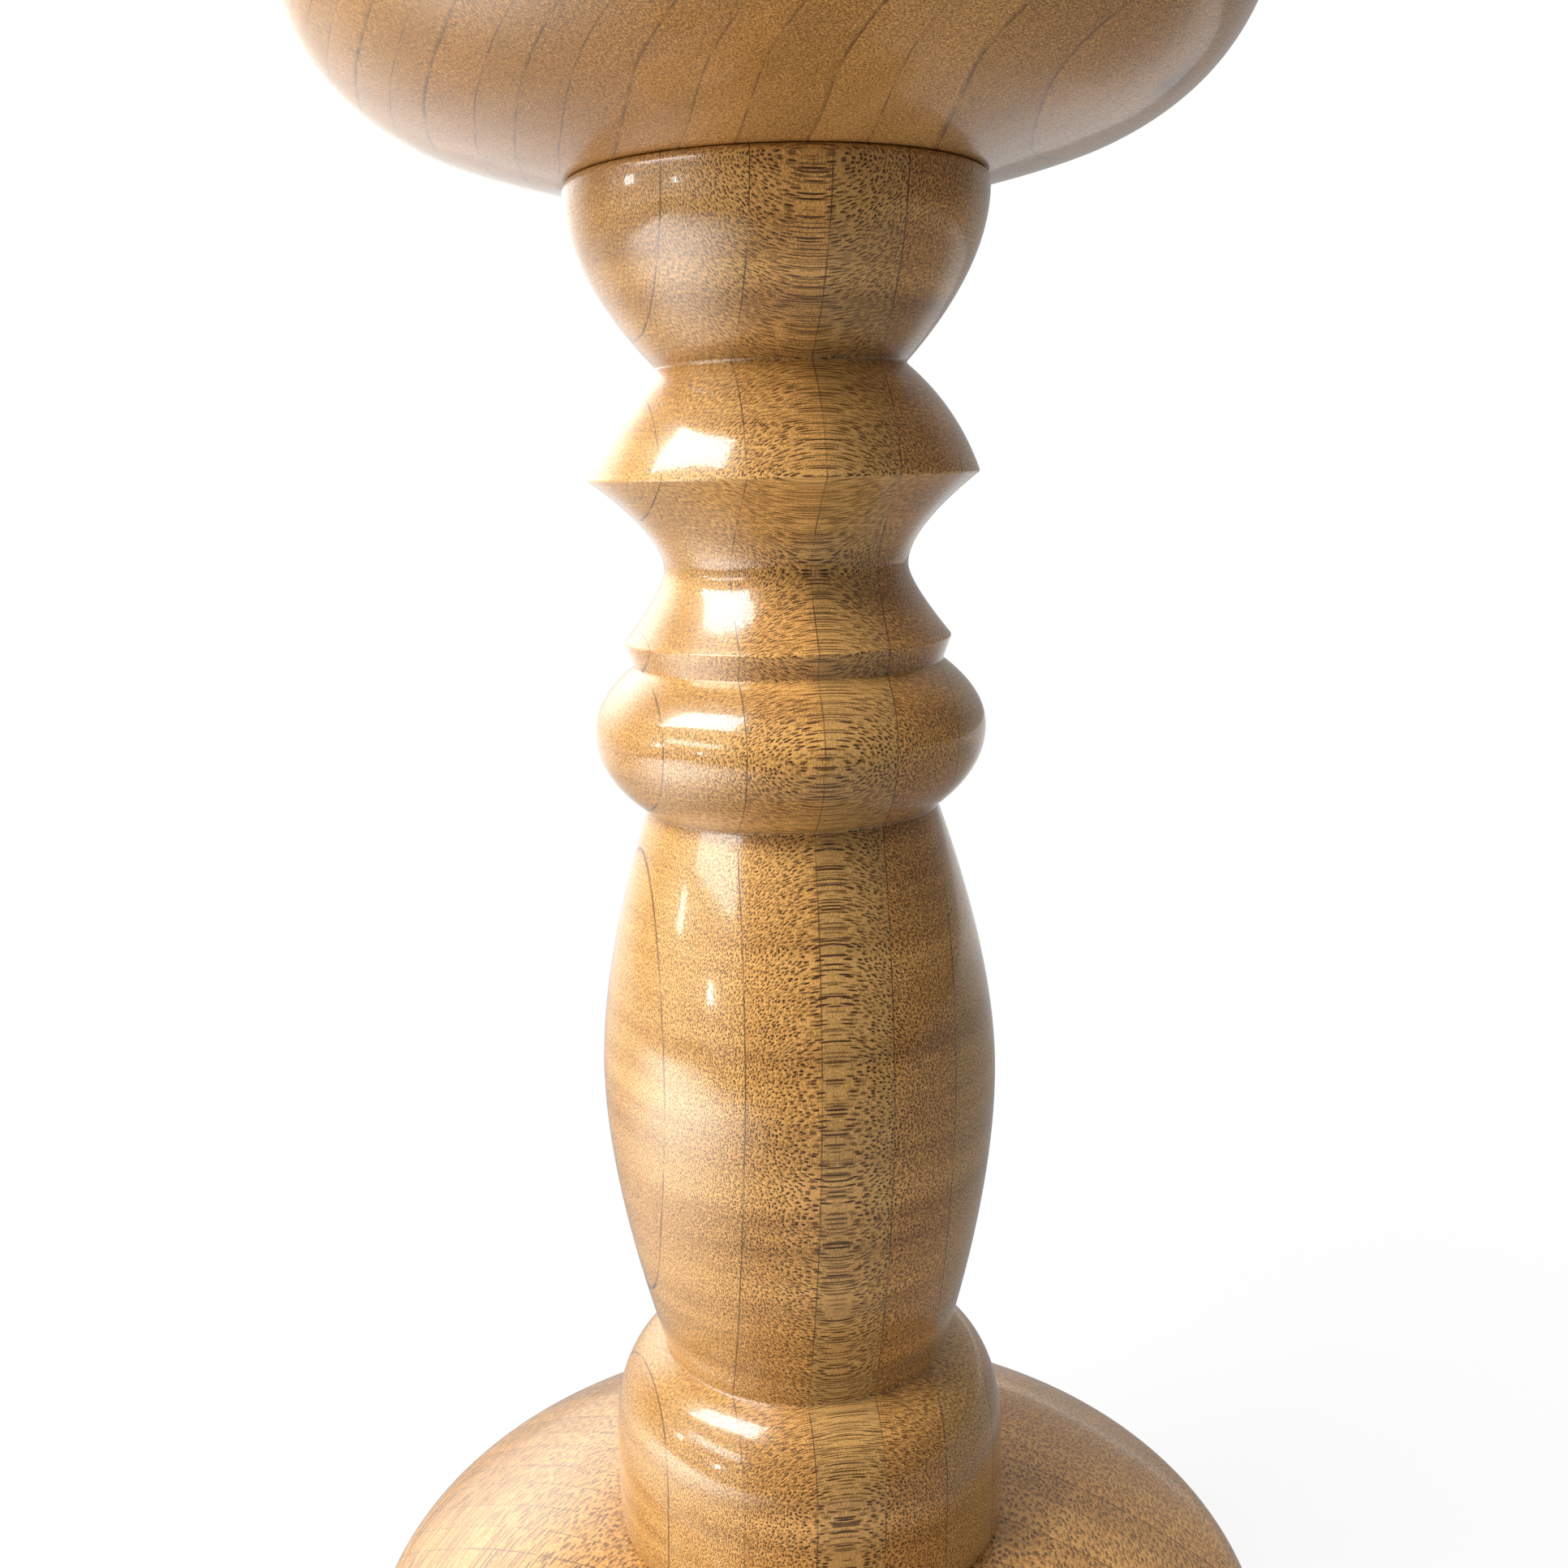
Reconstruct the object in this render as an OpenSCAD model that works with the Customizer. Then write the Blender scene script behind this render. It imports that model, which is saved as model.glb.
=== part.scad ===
// Turned hardwood candlestick for one pillar candle.
// A spindle-turned stem stands in a domed base and carries a bowl-shaped cup with a drop-in metal liner.
// Millimetres, +Z up, origin at the centre of the felt's underside.

/* [Candle and liner] */
// Diameter of the pillar candle that the cup takes
candle_d = 76; // [60:1:92]
// Room round the candle, on the radius
candle_gap = 1.9; // [1:0.1:4]
// Depth of the liner, from the top of its flange to its floor
liner_depth = 15.7; // [12:0.1:20]
// Thickness of the liner's sheet metal
liner_t = 0.8; // [0.5:0.1:1.2]
// Inside radius of the bend between the liner's floor and its wall
liner_bend = 1.6; // [0.8:0.1:2.4]
// Width of the liner's flange on the rim, beyond the recess wall
flange_w = 2.4; // [1.6:0.1:3]
// Gap between the liner and the wood, beside its wall and below its floor
liner_gap = 0.3; // [0.2:0.05:0.6]

/* [Cup] */
// Wood between the recess and the widest part of the cup
cup_wall = 6.7; // [5.5:0.1:10]
// Wood between the recess and the stem's mortise
cup_floor = 10; // [7:0.5:16]
// Height of the cup's widest part above the stem's shoulder
cup_belly_h = 22.8; // [18:0.2:27]
// Diameter where the flat underside turns up into the side
flare_d = 71.3; // [56:0.1:76]
// Height of that turn above the stem's shoulder
flare_h = 4.1; // [3:0.1:8]
// How far the rim draws in from the widest part, on the radius
rim_in = 2.3; // [1:0.1:2.5]
// Height of the rounded outer edge of the rim
rim_round = 1.7; // [0.8:0.1:3]

/* [Stem, bell and cone] */
// Diameter of the bell under the cup
bell_d = 42.4; // [36:0.1:50]
// Height of the bell
bell_h = 17.7; // [12:0.1:24]
// Rounding of the bell's top edge, where it meets the cup
bell_edge = 0.9; // [0.3:0.1:1.5]
// Diameter of the groove between the bell and the cone
throat_d = 25.4; // [21:0.1:32]
// Height of the cone, from the ridge to the throat
cone_h = 10.9; // [7:0.1:15]
// How far the cone's side swells from straight
cone_swell = 0.9; // [0:0.05:1.2]
// Diameter of the sharp ridge under the cone
ridge_d = 40.2; // [34:0.1:48]

/* [Stem, cove and bead] */
// Diameter of the cove's waist
waist_d = 25.4; // [21:0.1:32]
// Height of the cove from its waist up to the ridge
cove_top_h = 9.2; // [6:0.1:14]
// Height of the cove from the fillet up to its waist
cove_low_h = 7.4; // [5:0.1:11]
// Diameter of the fillet's edge, where the cove starts
fillet_d = 34.2; // [30:0.1:40]
// Height of the fillet over the bead
fillet_h = 2.5; // [1.5:0.1:4]
// Diameter of the groove between the fillet and the bead
fillet_groove_d = 32.4; // [28:0.1:38]
// Diameter of the bead
bead_d = 41.3; // [36:0.1:48]
// Height of the bead above its widest line
bead_top_h = 6.9; // [5:0.1:9]
// Height of the bead below its widest line
bead_low_h = 8.3; // [6:0.1:11]

/* [Stem, baluster and collar] */
// Diameter of the groove between the bead and the baluster
neck_d = 31; // [26:0.1:36]
// Height of the baluster above its widest line
baluster_top_h = 29.8; // [22:0.1:42]
// Height of the baluster below its widest line
baluster_low_h = 32; // [24:0.1:46]
// Diameter of the baluster
baluster_d = 43.2; // [36:0.1:50]
// Diameter of the groove between the baluster and the collar
ankle_d = 32.4; // [28:0.1:38]
// Height of the collar's rounded shoulder
collar_round = 12; // [8:0.1:16]
// Height of the collar's straight side
collar_h = 10; // [7:0.1:15]
// Diameter of the collar that stands on the base
collar_d = 44.6; // [38:0.1:52]

/* [Base] */
// Diameter of the base
base_d = 104.6; // [86:0.2:130]
// Fall of the crown, from the stem's shoulder to the rounded edge
crown_drop = 9.3; // [6:0.1:12]
// Width of the rounded edge, on the radius
edge_w = 3.6; // [2:0.1:6]
// Height of the rounded edge, from the crown to the widest line
edge_h = 6.4; // [4:0.1:8]
// How far the foot draws in from the widest line, on the radius
foot_in = 2.8; // [1:0.1:5]
// Wood between the mortise and the screw's pocket
base_floor = 4.2; // [3:0.1:8]
// Depth of the pocket that hides the screw's head and washer
pocket_h = 5; // [4.5:0.1:8]

/* [Felt] */
// Thickness of the felt
felt_t = 2; // [1.2:0.1:4]
// Depth of the felt's seat in the base
felt_inset = 1; // [0.5:0.1:1]
// Width of the wooden foot left round the felt
foot_w = 3.2; // [2:0.1:6]
// Gap between the felt's edge and its seat
felt_gap = 0.3; // [0.1:0.1:0.6]

/* [Joints] */
// Diameter of the stem's lower tenon
foot_tenon_d = 25; // [20:0.5:32]
// Length of the stem's lower tenon
foot_tenon_l = 14; // [10:0.5:18]
// Diameter of the stem's upper tenon
cup_tenon_d = 22; // [18:0.5:28]
// Length of the stem's upper tenon
cup_tenon_l = 12; // [8:0.5:16]
// Glue room round a tenon, on the radius
tenon_fit = 0.05; // [0.03:0.01:0.1]
// Glue room at the end of a tenon
tenon_end_gap = 0.3; // [0.2:0.1:0.5]
// Thread diameter of the base screw
base_screw_d = 5; // [4:0.1:6]
// Length of the base screw under its head
base_screw_l = 38; // [30:1:42]
// Thread diameter of the cup screw
cup_screw_d = 4.2; // [3.5:0.1:5.2]
// Length of the cup screw, with its flat head
cup_screw_l = 32; // [26:1:38]
// Room between a screw and the hole that it cuts, on the radius
thread_fit = 0.05; // [0.02:0.01:0.1]
// Room between a screw's shank and its clearance hole, on the radius
shank_fit = 0.2; // [0.1:0.05:0.4]

/* [Hidden] */
$fn = 96;

// Straight steps that stand for one curve of an outline
curve_steps = 14;
// A little extra on a cut, so that it passes through the face that it opens
through = 1;

// How far each curve runs along its axis-parallel end before it turns, as a share of its height
bell_pull = 0.46;
cove_top_pull = 0.38;
cove_low_pull = 0.25;
bead_top_pull = 0.5;
bead_low_pull = 0.56;
baluster_top_pull = 0.4;
baluster_low_pull = 0.4;
collar_pull = 0.76;
cup_side_pull = 0.71;
cup_wall_pull = 0.6;
edge_pull = 0.66;
foot_pull = 0.7;
// Slope of the base's crown at the collar, and of the cup's underside at the bell, in degrees
crown_slope = 5.8;
underside_slope = 13;
// Slope of the cup's underside where it turns up, in degrees
flare_slope = 24;

// Heights from the felt's underside
foot_z = felt_t - felt_inset;
pocket_z = felt_t + pocket_h;
base_mortise_z = pocket_z + base_floor;
foot_tenon_z = base_mortise_z + tenon_end_gap;
shoulder_z = foot_tenon_z + foot_tenon_l;
collar_top_z = shoulder_z + collar_h;
ankle_z = collar_top_z + collar_round;
baluster_z = ankle_z + baluster_low_h;
neck_z = baluster_z + baluster_top_h;
bead_z = neck_z + bead_low_h;
fillet_groove_z = bead_z + bead_top_h;
fillet_z = fillet_groove_z + fillet_h;
waist_z = fillet_z + cove_low_h;
ridge_z = waist_z + cove_top_h;
throat_z = ridge_z + cone_h;
cup_z = throat_z + bell_h;
cup_tenon_z = cup_z + cup_tenon_l;
cup_mortise_z = cup_tenon_z + tenon_end_gap;
recess_z = cup_mortise_z + cup_floor;
liner_z = recess_z + liner_gap;
rim_z = liner_z + liner_depth;

// Radii of the cup and its liner
bore_r = candle_d / 2 + candle_gap;
recess_r = bore_r + liner_t + liner_gap;
cup_r = recess_r + cup_wall;
flange_r = recess_r + flange_w;
land_r = flange_r + liner_gap;

// Radii of the base and its felt
base_r = base_d / 2;
crown_r = base_r - edge_w;
crown_z = shoulder_z - crown_drop;
foot_r = base_r - foot_in;
felt_seat_r = foot_r - foot_w;
felt_r = felt_seat_r - felt_gap;

// Screw proportions, as multiples of the thread's diameter
head_r_share = 0.95;
pan_head_h_share = 0.55;
washer_r_share = 1.4;
pitch_share = 0.45;
root_r_share = 0.35;
point_share = 1;
// Share of a screw's length that is plain, under its head
plain_share = 1 / 3;
// Cross slot: its width across the head's radius, its depth in the head, and its width over its thickness
slot_w_share = 1.1;
slot_depth_share = 0.6;
slot_thinness = 4;

// Screws and washer
washer_t = 1.2;
washer_room = 0.5;
washer_r = base_screw_d * washer_r_share;
pocket_r = washer_r + washer_room;
pan_head_r = base_screw_d * head_r_share;
pan_head_h = base_screw_d * pan_head_h_share;
flat_head_r = cup_screw_d * head_r_share;
flat_head_h = flat_head_r - cup_screw_d / 2;
head_sink = 0.2;
head_z = pocket_z - washer_t;
screw_top_z = recess_z - head_sink;
// Empty hole beyond a screw's point
point_room = 1;

// Points along the curve from a to b that leaves a towards c and reaches b from c
function bend(a, c, b) = [
  for (i = [0:curve_steps])
    let (t = i / curve_steps)
      (1 - t) * (1 - t) * a + 2 * t * (1 - t) * c + t * t * b
];

// The same for a curve that runs parallel to the axis at a, for that share of its height
function swell(a, b, pull) = bend(a, [a[0], a[1] + pull * (b[1] - a[1])], b);

// The point where the line through a at slope_a meets the line through b at slope_b, in degrees
function meet(a, slope_a, b, slope_b) =
  let (
    ka = tan(slope_a),
    kb = tan(slope_b),
    r = (b[1] - a[1] + ka * a[0] - kb * b[0]) / (ka - kb)
  ) [r, a[1] + ka * (r - a[0])];

// The middle of the line from a to b, moved sideways to bend that line outwards by sag
function bowed(a, b, sag) =
  let (along = (b - a) / norm(b - a)) (a + b) / 2 + 2 * sag * [along[1], -along[0]];

function reversed(points) = [for (i = [len(points) - 1:-1:0]) points[i]];

module turned(points) {
  rotate_extrude() polygon(points);
}

// The stem's outline, from the lower tenon up to the upper one
function stem_outline() =
  let (
    foot_tenon_r = foot_tenon_d / 2,
    cup_tenon_r = cup_tenon_d / 2,
    collar_top = [collar_d / 2, collar_top_z],
    ankle = [ankle_d / 2, ankle_z],
    belly = [baluster_d / 2, baluster_z],
    neck = [neck_d / 2, neck_z],
    bead = [bead_d / 2, bead_z],
    fillet_groove = [fillet_groove_d / 2, fillet_groove_z],
    fillet = [fillet_d / 2, fillet_z],
    waist = [waist_d / 2, waist_z],
    ridge = [ridge_d / 2, ridge_z],
    throat = [throat_d / 2, throat_z],
    bell_top = [bell_d / 2, cup_z - bell_edge]
  ) concat(
    [[0, foot_tenon_z], [foot_tenon_r, foot_tenon_z]],
    [[foot_tenon_r, shoulder_z], [collar_d / 2, shoulder_z]],
    swell(collar_top, ankle, collar_pull),
    reversed(swell(belly, ankle, baluster_low_pull)),
    swell(belly, neck, baluster_top_pull),
    reversed(swell(bead, neck, bead_low_pull)),
    swell(bead, fillet_groove, bead_top_pull),
    reversed(swell(waist, fillet, cove_low_pull)),
    swell(waist, ridge, cove_top_pull),
    bend(ridge, bowed(ridge, throat, cone_swell), throat),
    reversed(swell(bell_top, throat, bell_pull)),
    swell(bell_top, [bell_d / 2 - bell_edge, cup_z], 1),
    [[cup_tenon_r, cup_z], [cup_tenon_r, cup_tenon_z], [0, cup_tenon_z]]
  );

// The base's outline, from the foot over the crown to the axis
function base_outline() =
  let (
    widest = [base_r, crown_z - edge_h],
    crown_edge = [crown_r, crown_z],
    seat = [collar_d / 2, shoulder_z],
    edge_turn = [base_r, widest[1] + edge_pull * edge_h],
    edge_slope = atan2(edge_turn[1] - crown_z, base_r - crown_r)
  ) concat(
    [[0, foot_z]],
    reversed(swell(widest, [foot_r, foot_z], foot_pull)),
    swell(widest, crown_edge, edge_pull),
    bend(crown_edge, meet(seat, -crown_slope, crown_edge, edge_slope), seat),
    [[0, shoulder_z]]
  );

// The cup's outline, from its seat on the bell over the side and rim to the axis
function cup_outline() =
  let (
    seat = [bell_d / 2, cup_z],
    flare = [flare_d / 2, cup_z + flare_h],
    widest = [cup_r, cup_z + cup_belly_h],
    rim = [cup_r - rim_in, rim_z - rim_round]
  ) concat(
    [[0, cup_z]],
    bend(seat, meet(seat, underside_slope, flare, flare_slope), flare),
    reversed(swell(widest, flare, cup_side_pull)),
    swell(widest, rim, cup_wall_pull),
    swell(rim, [land_r, rim_z], 1),
    [[0, rim_z]]
  );

// The liner's section: a flange, a bend, a wall, a bend and a floor, one sheet thick
function liner_outline() =
  let (
    floor_top = liner_z + liner_t,
    flange_top = rim_z + liner_t,
    outer_r = bore_r + liner_t,
    outer_bend = liner_bend + liner_t
  ) concat(
    [[0, liner_z]],
    bend([outer_r - outer_bend, liner_z], [outer_r, liner_z], [outer_r, liner_z + outer_bend]),
    [[outer_r, rim_z], [flange_r - liner_t / 2, rim_z]],
    bend([flange_r - liner_t / 2, rim_z], [flange_r, rim_z], [flange_r, rim_z + liner_t / 2]),
    bend([flange_r, rim_z + liner_t / 2], [flange_r, flange_top], [flange_r - liner_t / 2, flange_top]),
    bend([bore_r + liner_t, flange_top], [bore_r, flange_top], [bore_r, rim_z]),
    bend([bore_r, floor_top + liner_bend], [bore_r, floor_top], [bore_r - liner_bend, floor_top]),
    [[0, floor_top]]
  );

// A wood screw's shank from z = 0 up to its point, plain under the head and then threaded
module threaded_shank(d, length) {
  pitch = d * pitch_share;
  root_r = d * root_r_share;
  plain = length * plain_share;
  point_l = d * point_share;
  turns = floor((length - plain - point_l) / pitch);
  ridges = [
    for (i = [0:turns - 1])
      let (z = plain + i * pitch)
        each [[root_r, z], [d / 2, z + pitch / 2]]
  ];
  turned(concat(
    [[0, 0], [d / 2, 0], [d / 2, plain - pitch / 2]],
    ridges,
    [[root_r, plain + turns * pitch], [0, length]]
  ));
}

// A cross slot for a screwdriver, cut down from z = 0 into a head of that radius and height
module cross_slot(head_r, head_h) {
  width = head_r * slot_w_share;
  depth = head_h * slot_depth_share;
  slot_t = width / slot_thinness;
  for (turn = [0, 90])
    rotate(turn)
      translate([-width / 2, -slot_t / 2, -depth])
        cube([width, slot_t, depth + through]);
}

module base() {
  color("burlywood")
    difference() {
      turned(base_outline());
      translate([0, 0, base_mortise_z])
        cylinder(r = foot_tenon_d / 2 + tenon_fit, h = shoulder_z - base_mortise_z + through);
      translate([0, 0, foot_z - through])
        cylinder(r = felt_seat_r, h = felt_inset + through);
      translate([0, 0, foot_z])
        cylinder(r = pocket_r, h = pocket_z - foot_z);
      translate([0, 0, foot_z])
        cylinder(r = base_screw_d / 2 + shank_fit, h = base_mortise_z - foot_z + through);
    }
}

module stem() {
  color("tan")
    difference() {
      turned(stem_outline());
      translate([0, 0, foot_tenon_z - through])
        cylinder(
          r = base_screw_d / 2 + thread_fit,
          h = head_z + base_screw_l + point_room - foot_tenon_z + through
        );
      translate([0, 0, screw_top_z - cup_screw_l - point_room])
        cylinder(
          r = cup_screw_d / 2 + thread_fit,
          h = cup_tenon_z - screw_top_z + cup_screw_l + point_room + through
        );
    }
}

module cup() {
  color("peru")
    difference() {
      turned(cup_outline());
      translate([0, 0, recess_z])
        cylinder(r = recess_r, h = rim_z - recess_z + through);
      translate([0, 0, cup_z - through])
        cylinder(r = cup_tenon_d / 2 + tenon_fit, h = cup_mortise_z - cup_z + through);
      translate([0, 0, cup_z])
        cylinder(r = cup_screw_d / 2 + shank_fit, h = recess_z - cup_z + through);
      translate([0, 0, screw_top_z - flat_head_h])
        cylinder(
          r1 = cup_screw_d / 2 + shank_fit,
          r2 = flat_head_r + shank_fit,
          h = flat_head_h
        );
      translate([0, 0, screw_top_z])
        cylinder(r = flat_head_r + shank_fit, h = head_sink + through);
    }
}

module candle_liner() {
  color("goldenrod")
    turned(liner_outline());
}

module base_screw() {
  color("silver")
    translate([0, 0, head_z]) {
      threaded_shank(base_screw_d, base_screw_l);
      difference() {
        turned(concat(
          [[0, 0]],
          reversed(bend([0, -pan_head_h], [pan_head_r, -pan_head_h], [pan_head_r, 0]))
        ));
        translate([0, 0, -pan_head_h])
          rotate([180, 0, 0])
            cross_slot(pan_head_r, pan_head_h);
      }
    }
}

module base_washer() {
  color("silver")
    translate([0, 0, head_z])
      difference() {
        cylinder(r = washer_r, h = washer_t);
        translate([0, 0, -through])
          cylinder(r = base_screw_d / 2 + shank_fit, h = washer_t + 2 * through);
      }
}

module cup_screw() {
  color("silver")
    translate([0, 0, screw_top_z]) {
      rotate([180, 0, 0])
        translate([0, 0, flat_head_h])
          threaded_shank(cup_screw_d, cup_screw_l - flat_head_h);
      difference() {
        translate([0, 0, -flat_head_h])
          cylinder(r1 = cup_screw_d / 2, r2 = flat_head_r, h = flat_head_h);
        cross_slot(flat_head_r, flat_head_h);
      }
    }
}

module felt_pad() {
  color("darkolivegreen")
    cylinder(r = felt_r, h = felt_t);
}

base();
stem();
cup();
candle_liner();
base_screw();
base_washer();
cup_screw();
felt_pad();
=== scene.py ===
"""Looks of the turned candlestick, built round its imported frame: lacquered maple, brass, zinc and felt."""

import math
from typing import NamedTuple

import bpy
import numpy as np
from mathutils import Matrix, Vector, noise


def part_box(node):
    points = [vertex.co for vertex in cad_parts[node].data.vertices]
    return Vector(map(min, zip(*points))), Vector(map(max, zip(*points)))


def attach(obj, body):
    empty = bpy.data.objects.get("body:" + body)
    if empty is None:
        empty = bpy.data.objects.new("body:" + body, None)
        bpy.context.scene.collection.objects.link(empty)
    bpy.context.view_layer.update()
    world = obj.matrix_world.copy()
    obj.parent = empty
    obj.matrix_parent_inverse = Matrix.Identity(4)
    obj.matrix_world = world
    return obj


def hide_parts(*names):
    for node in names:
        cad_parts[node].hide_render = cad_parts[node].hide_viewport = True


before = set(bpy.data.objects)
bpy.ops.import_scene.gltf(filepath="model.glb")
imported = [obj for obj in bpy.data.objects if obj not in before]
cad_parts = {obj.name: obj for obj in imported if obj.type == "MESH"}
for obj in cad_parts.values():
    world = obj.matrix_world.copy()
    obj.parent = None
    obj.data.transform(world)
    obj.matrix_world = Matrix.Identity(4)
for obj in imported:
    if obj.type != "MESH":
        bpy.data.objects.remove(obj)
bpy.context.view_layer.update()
scene = bpy.context.scene

MM = 0.001

# Camera: place in metres, angles in degrees, focal length in pixels of the image, sensor in millimetres
IMAGE_SIZE = 1932
FOCAL_LENGTH = 1935
CAMERA_PLACE = Vector((0, -0.165, 0.14546))
CAMERA_PITCH = 11.75
CAMERA_YAW = 0.301
CAMERA_ROLL = -1.597
SENSOR = 36


def place_camera():
    """The camera at the photograph's viewing angle."""
    pitch, yaw, roll = (math.radians(angle) for angle in (CAMERA_PITCH, CAMERA_YAW, CAMERA_ROLL))
    right = Vector((math.cos(yaw), math.sin(yaw), 0))
    ahead = Vector((
        -math.sin(yaw) * math.cos(pitch),
        math.cos(yaw) * math.cos(pitch),
        -math.sin(pitch),
    ))
    above = right.cross(ahead)
    side = math.cos(roll) * right + math.sin(roll) * above
    top = math.cos(roll) * above - math.sin(roll) * right
    data = bpy.data.cameras.new("view")
    data.sensor_width = SENSOR
    data.lens = SENSOR * FOCAL_LENGTH / IMAGE_SIZE
    data.clip_start = MM
    camera = bpy.data.objects.new("view", data)
    turned = Matrix((side, top, -ahead)).transposed().to_quaternion()
    camera.matrix_world = Matrix.LocRotScale(CAMERA_PLACE, turned, None)
    scene.collection.objects.link(camera)
    scene.camera = camera


class Graph:
    """Short calls that add shader nodes. An input takes a constant, or a socket to link."""

    def __init__(self, tree):
        self.tree = tree
        tree.nodes.clear()

    def add(self, kind, inputs=None, **settings):
        node = self.tree.nodes.new("ShaderNode" + kind)
        for name, value in settings.items():
            setattr(node, name, value)
        self.feed(node.inputs, inputs or {})
        return node

    def feed(self, sockets, values):
        """Links or sets each input that the values name."""
        for key, value in values.items():
            if isinstance(value, bpy.types.NodeSocket):
                self.tree.links.new(value, sockets[key])
            else:
                sockets[key].default_value = value

    def math(self, operation, *values):
        return self.add("Math", dict(enumerate(values)), operation=operation).outputs[0]

    def vector_math(self, operation, *values):
        return self.add("VectorMath", dict(enumerate(values)), operation=operation).outputs

    def total(self, start, *terms):
        """Start plus the sum of weight times value over the terms."""
        result = start
        for weight, value in terms:
            inputs = {0: value, 1: weight, 2: result}
            result = self.add("Math", inputs, operation="MULTIPLY_ADD").outputs[0]
        return result

    def shared(self, share, first, second):
        """A share of the first value, and the rest of the second."""
        return self.total(0, (share, first), (1 - share, second))

    def product(self, first, *others):
        for other in others:
            first = self.math("MULTIPLY", first, other)
        return first

    def hypotenuse(self, x, y):
        return self.math("SQRT", self.total(0, (x, x), (y, y)))

    def fade(self, value, low, high, first=0, last=1):
        """A smooth change from first to last as the value goes from low to high."""
        inputs = {"Value": value, "From Min": low, "From Max": high, "To Min": first, "To Max": last}
        return self.add("MapRange", inputs, interpolation_type="SMOOTHSTEP").outputs[0]

    def vector(self, x, y, z):
        return self.add("CombineXYZ", {0: x, 1: y, 2: z}).outputs[0]

    def split(self, vector):
        return self.add("SeparateXYZ", {0: vector}).outputs

    def stretched(self, parts, sizes):
        """The place measured in units of the given size along each axis."""
        return self.vector(*(self.math("DIVIDE", part, size) for part, size in zip(parts, sizes)))

    def noise(self, vector, detail=2, roughness=0.5, distortion=0):
        return self.add("TexNoise", {
            "Vector": vector,
            "Scale": 1,
            "Detail": detail,
            "Roughness": roughness,
            "Distortion": distortion,
        }).outputs["Fac"]

    def ramp(self, value, stops):
        node = self.add("ValToRGB", {0: value})
        elements = node.color_ramp.elements
        while len(elements) < len(stops):
            elements.new(0.5)
        for element, (position, colour) in zip(elements, stops):
            element.position = position
            element.color = (*colour, 1)
        return node.outputs[0]

    def blend(self, share, first, second):
        """One colour turning into another as the share goes from 0 to 1."""
        return self.add("Mix", {0: share, 6: first, 7: second}, data_type="RGBA").outputs[2]

    def bump(self, height, distance, strength=1):
        inputs = {"Height": height, "Distance": distance, "Strength": strength}
        return self.add("Bump", inputs).outputs[0]

    def place(self):
        """The point's own place in the object, in metres."""
        return self.add("TexCoord").outputs["Object"]

    def by_ray(self, scattered, mirrored):
        """The mirrored value where a reflection looks, and the scattered one for all other light."""
        glossy = self.add("LightPath").outputs["Is Glossy Ray"]
        return self.total(scattered, (glossy, self.math("SUBTRACT", mirrored, scattered)))


def srgb(red, green, blue):
    """A colour given as 0 to 255 on a screen, in linear light."""
    shares = (value / 255 for value in (red, green, blue))
    return tuple(s / 12.92 if s <= 0.04045 else ((s + 0.055) / 1.055) ** 2.4 for s in shares)


def empty_material(name):
    """A material with an empty graph."""
    material = bpy.data.materials.new(name)
    material.use_nodes = True
    return material, Graph(material.node_tree)


def new_material(name):
    """A material with its graph and its shader's inputs."""
    material, graph = empty_material(name)
    shader = graph.add("BsdfPrincipled")
    graph.add("OutputMaterial", {"Surface": shader.outputs[0]})
    return material, graph, shader.inputs


class Wood(NamedTuple):
    """The wood of one turning. Lengths are in millimetres."""
    name: str
    centre: Vector  # a point in the piece, from which the pith's direction is taken
    pith: Vector  # a point on the tree's pith
    grain: Vector  # the way that the fibres run
    ring_gap: float  # between growth rings
    ring_radius: float  # of one growth ring
    uneven: float  # how far the rings stray from even gaps
    first_ring: int  # picks the rings' chance tones
    ring_contrast: float  # between one ring's tone and the next
    line: float  # strength of the line that ends a ring
    ray: float  # strength of the ray flecks
    ray_size: float  # times the rays' usual size and spacing
    # The curly figure's bands in the tone are painted sheen, standing in for the shimmer that moves with
    # light and view
    curl_and_sheen: float  # strength of the bands across the grain
    pale: float  # middle tone, from 0, dark, to 1, pale


# Stem: the rings lean a little, and their normal points to the right and away from the camera
STEM_RING_TURN = math.radians(18)
STEM_LEAN = 0.035
STEM_RING_NORMAL = Vector((math.cos(STEM_RING_TURN), math.sin(STEM_RING_TURN), -STEM_LEAN))
STEM_CENTRE = Vector((0, 0, 73))
STEM_PITH_REACH = 140
STEM_WOOD = Wood(
    name="maple_stem",
    centre=STEM_CENTRE,
    pith=STEM_CENTRE - STEM_PITH_REACH * STEM_RING_NORMAL,
    grain=Vector((STEM_LEAN * STEM_RING_NORMAL.x, STEM_LEAN * STEM_RING_NORMAL.y, 1)),
    ring_gap=7.3, ring_radius=136.8, uneven=0, first_ring=2269,
    ring_contrast=0.45, line=1, ray=1, ray_size=1, curl_and_sheen=1.2, pale=0.65,
)

# Cup: cut aslant, with the pith above and behind
CUP_CENTRE = Vector((0, 0, 190))
CUP_PITH_OFFSET = Vector((3.4, 93.8, 190.1))
CUP_WOOD = Wood(
    name="maple_cup",
    centre=CUP_CENTRE,
    pith=CUP_CENTRE + CUP_PITH_OFFSET,
    grain=Vector((0.672, 0.697, 0.251)),
    ring_gap=2.5, ring_radius=193.8, uneven=4, first_ring=0,
    ring_contrast=0.2, line=0.7, ray=0.6, ray_size=1, curl_and_sheen=0.3, pale=0.46,
)

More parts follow.
